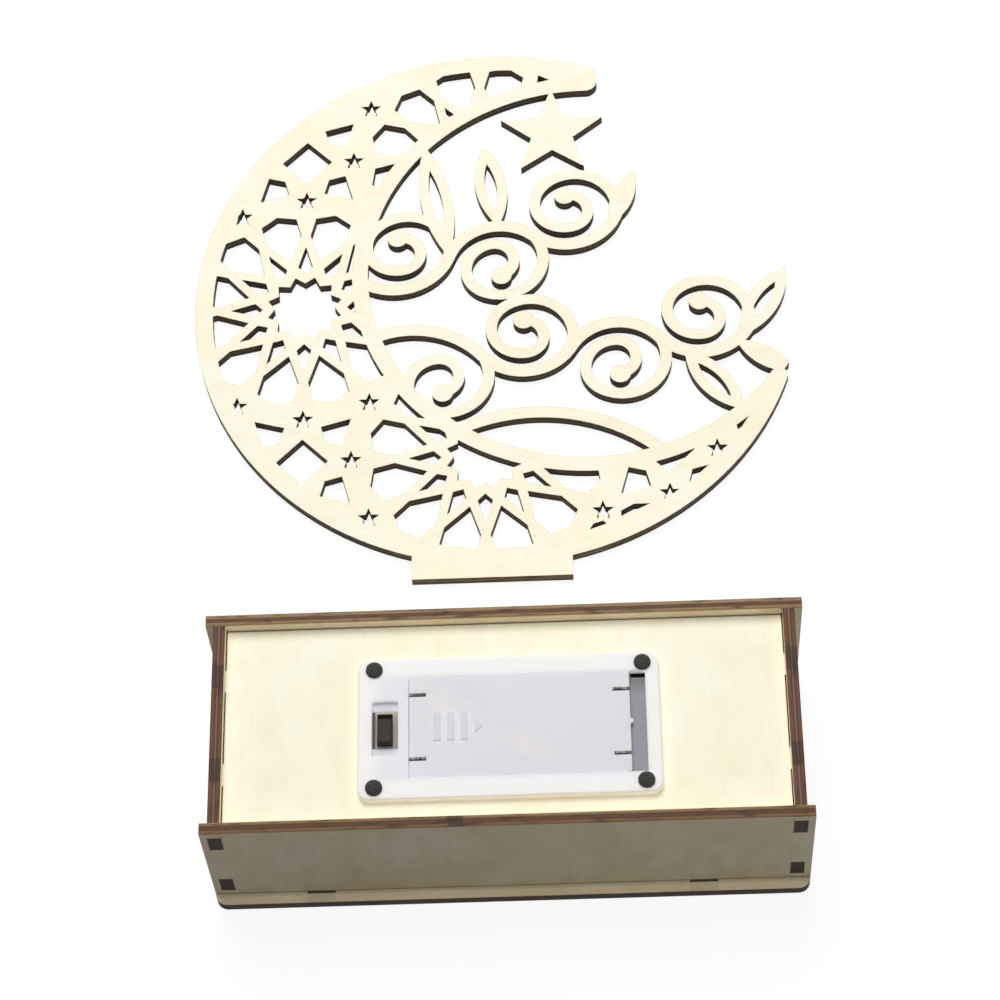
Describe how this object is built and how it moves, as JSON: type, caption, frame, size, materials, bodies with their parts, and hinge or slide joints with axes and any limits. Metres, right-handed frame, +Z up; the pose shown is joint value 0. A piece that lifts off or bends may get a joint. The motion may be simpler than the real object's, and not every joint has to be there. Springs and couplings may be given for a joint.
{
  "type": "eid crescent ornament",
  "caption": "Laser-cut plywood crescent with a pierced star lattice and scroll, beside the lit box base it plugs into, turned over to show its battery case.",
  "frame": {"origin": "middle of the slot for the ornament's tab, on the outer face of the base's top plate, which lies on the table", "axes": "+Z up from the table, +X along the base's long side, +Y from the base to the ornament that lies behind it"},
  "size_m": [0.1655, 0.2643, 0.0406],
  "materials": {
    "birch_ply": "pale laser-cut birch plywood, raw, with burnt edges",
    "case_plastic": "frosted white moulding",
    "door_plastic": "frosted white moulding, a little greyer",
    "black_screw": "blackened steel screws",
    "bright_metal": "nickel-plated stamping",
    "black_plastic": "black moulded knob",
    "brown_board": "phenolic insulating board",
    "lamp_board": "white coated circuit board",
    "lamp_lens": "yellow lamp chips",
    "red_insulation": "red insulation",
    "black_insulation": "black insulation"
  },
  "bodies": {
    "base": {"top_plate": "birch_ply", "front_wall": "birch_ply", "back_wall": "birch_ply", "left_end_wall": "birch_ply", "right_end_wall": "birch_ply", "bottom_panel": "birch_ply", "battery_case": "case_plastic", "case_screws": "black_screw", "switch_shell": "bright_metal", "switch_base": "brown_board", "switch_terminals": "bright_metal", "bridge_contact": "bright_metal", "positive_contact": "bright_metal", "negative_contact": "bright_metal", "led_board": "lamp_board", "leds": "lamp_lens", "board_screws": "bright_metal", "jumper_lead": "red_insulation", "red_lead": "red_insulation", "black_lead": "black_insulation"},
    "crescent": {"crescent_panel": "birch_ply"},
    "door": {"battery_door": "door_plastic"},
    "switch_slider": {"switch_knob": "black_plastic"}
  },
  "joints": [
    {"name": "door_slide", "type": "slide", "parent": "base", "child": "door", "axis": [1, 0, 0], "range_m": [0, 0.0031]},
    {"name": "switch_slide", "type": "slide", "parent": "base", "child": "switch_slider", "axis": [0, 1, 0], "range_m": [0, 0.002]},
    {"name": "ornament_lift", "type": "slide", "parent": "base", "child": "crescent", "axis": [0, 0, 1], "range_m": [0, 0.06]}
  ]
}
